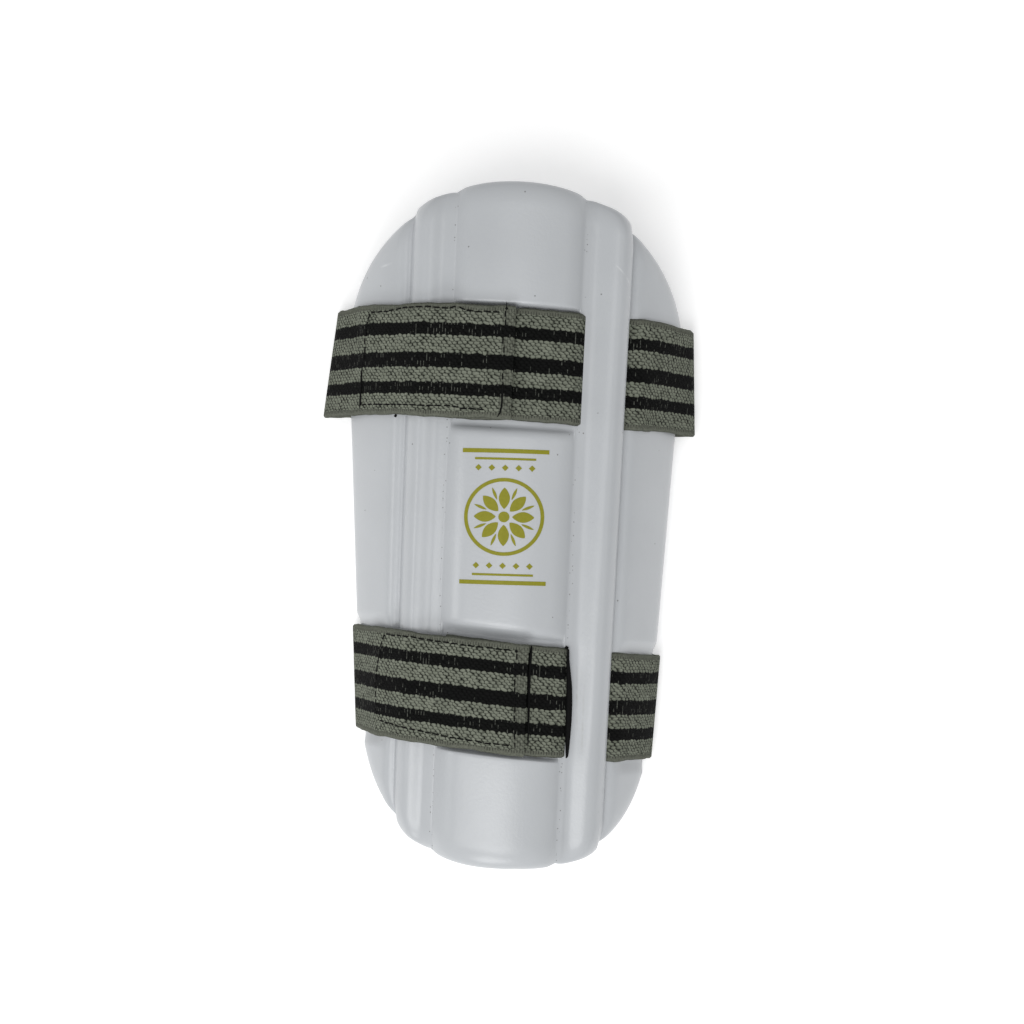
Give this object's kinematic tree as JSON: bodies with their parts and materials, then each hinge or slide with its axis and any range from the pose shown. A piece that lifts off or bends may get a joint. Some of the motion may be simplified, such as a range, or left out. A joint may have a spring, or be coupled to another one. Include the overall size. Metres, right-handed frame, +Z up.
{
  "type": "cricket arm guard",
  "caption": "Moulded foam forearm guard with a crowned centre panel, two long ribs and rounded ends, held by striped elastic straps threaded under one rib.",
  "frame": {"origin": "middle of the guard's outer box in plan, on the surface it rests on", "axes": "+X across the arm to the side with the wider rib, +Y along the arm to the elbow end, +Z up out of the padded face"},
  "size_m": [0.1428, 0.246, 0.0537],
  "materials": {
    "shell_foam": "satin moulded foam skin, white",
    "strap_elastic": "woven elastic, grey-green with three black stripes",
    "hook_tape": "black hook tape"
  },
  "bodies": {
    "root": {"moulded_shell": "shell_foam", "upper_strap": "strap_elastic", "lower_strap": "strap_elastic", "upper_hook_patch": "hook_tape", "lower_hook_patch": "hook_tape"}
  },
  "joints": []
}
